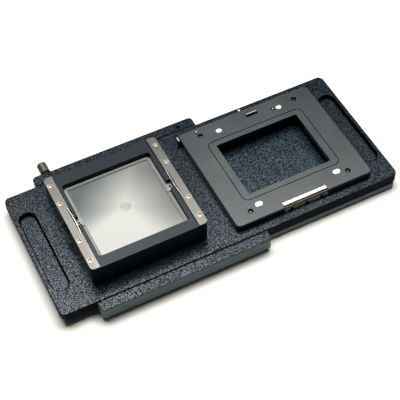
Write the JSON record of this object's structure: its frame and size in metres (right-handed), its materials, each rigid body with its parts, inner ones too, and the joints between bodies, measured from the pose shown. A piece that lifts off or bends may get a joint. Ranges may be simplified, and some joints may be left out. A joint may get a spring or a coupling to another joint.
{
  "type": "sliding camera back adapter",
  "caption": "Long slide carrying a focusing screen housing and a back plate between two guide rails on a flat base, locked by a small knob.",
  "frame": {"origin": "centre of the camera opening, in the plane of the base's underside", "axes": "+X along the slide's travel, towards the back plate; +Y across the slide, towards the rail with the lock knob; +Z away from the camera, out of the screen"},
  "size_m": [0.2245, 0.1204, 0.0265],
  "materials": {
    "base_coat": "fine grained black coat on aluminium",
    "rail_coat": "fine grained black coat on aluminium, smooth sides",
    "slide_coat": "crinkled black coat on aluminium",
    "housing_coat": "satin black anodised aluminium",
    "plate_coat": "satin dark grey anodised aluminium",
    "strip_steel": "brushed, warm",
    "strip_screw": "turned",
    "spring_steel": "bright",
    "screen_glass": "ground, milky",
    "prism_glass": "clear, slightly hazed",
    "bezel_silver": "satin, unpainted",
    "clip_steel": "stamped, dull",
    "screw_black": "black oxide",
    "pad_steel": "polished",
    "pin_steel": "turned",
    "plunger_copper": "turned",
    "bar_steel": "polished top, brushed face",
    "dot_gold": "satin",
    "knob_metal": "knurled, dull",
    "bushing_black": "black oxide",
    "shoe_nylon": "plain",
    "seal_felt": "black felt"
  },
  "bodies": {
    "base": {"base_plate": "base_coat", "front_rail": "rail_coat", "rear_rail": "rail_coat", "rail_set_screw": "screw_black", "rail_screws": "screw_black", "rail_index_pins": "dot_gold", "seal_left": "seal_felt", "seal_right": "seal_felt", "seal_front": "seal_felt", "seal_rear": "seal_felt", "stop_pin": "pin_steel", "lock_bushing": "bushing_black"},
    "carriage": {"slide_plate": "slide_coat", "slide_index_pin": "dot_gold", "screen_housing": "housing_coat", "housing_screws": "screw_black", "finder_strip_left": "strip_steel", "finder_strip_right": "strip_steel", "strip_screws_left": "strip_screw", "strip_screws_right": "strip_screw", "finder_spring_left": "spring_steel", "finder_spring_right": "spring_steel", "focusing_screen": "screen_glass", "split_prism": "prism_glass", "screen_bezel": "bezel_silver", "back_plate": "plate_coat", "aperture_ring": "plate_coat", "back_plate_screws": "screw_black", "register_pads_rear": "pad_steel", "register_pads_front": "pad_steel", "locating_pin": "pin_steel", "slot_liner": "pad_steel", "support_bar": "bar_steel", "support_bar_screws": "screw_black"},
    "brake": {"brake_shoe": "shoe_nylon"},
    "lock": {"lock_screw": "pin_steel", "lock_knob": "knob_metal"},
    "clip_left": {"screen_clip_left": "clip_steel"},
    "clip_right": {"screen_clip_right": "clip_steel"},
    "plunger": {"sensor_plunger": "plunger_copper"},
    "latch": {"latch_slider": "pin_steel"}
  },
  "joints": [
    {"name": "slide_travel", "type": "slide", "parent": "base", "child": "carriage", "axis": [1, 0, 0], "range_m": [-0.1, 0.03]},
    {"name": "shoe_advance", "type": "slide", "parent": "base", "child": "brake", "axis": [0, 1, 0], "range_m": [0, 0.0007]},
    {"name": "lock_turn", "type": "hinge", "parent": "brake", "child": "lock", "pos_m": [-0.045, 0.0575, 0.007], "axis": [0, 1, 0], "range_deg": [0, 360]},
    {"name": "clip_left_pull", "type": "slide", "parent": "carriage", "child": "clip_left", "axis": [-1, 0, 0], "range_m": [0, 0.002], "stiffness_N_per_m": 200, "springref_m": -0.002},
    {"name": "clip_right_pull", "type": "slide", "parent": "carriage", "child": "clip_right", "axis": [1, 0, 0], "range_m": [0, 0.002], "stiffness_N_per_m": 200, "springref_m": -0.002},
    {"name": "plunger_press", "type": "slide", "parent": "carriage", "child": "plunger", "axis": [0, 0, -1], "range_m": [0, 0.0006], "stiffness_N_per_m": 300, "springref_m": -0.001},
    {"name": "latch_pull", "type": "slide", "parent": "carriage", "child": "latch", "axis": [-1, 0, 0], "range_m": [0, 0.0015], "stiffness_N_per_m": 300, "springref_m": -0.002}
  ],
  "couplings": [
    {"joint": "lock_turn", "follows": "shoe_advance", "rad_per_m": 8976}
  ]
}
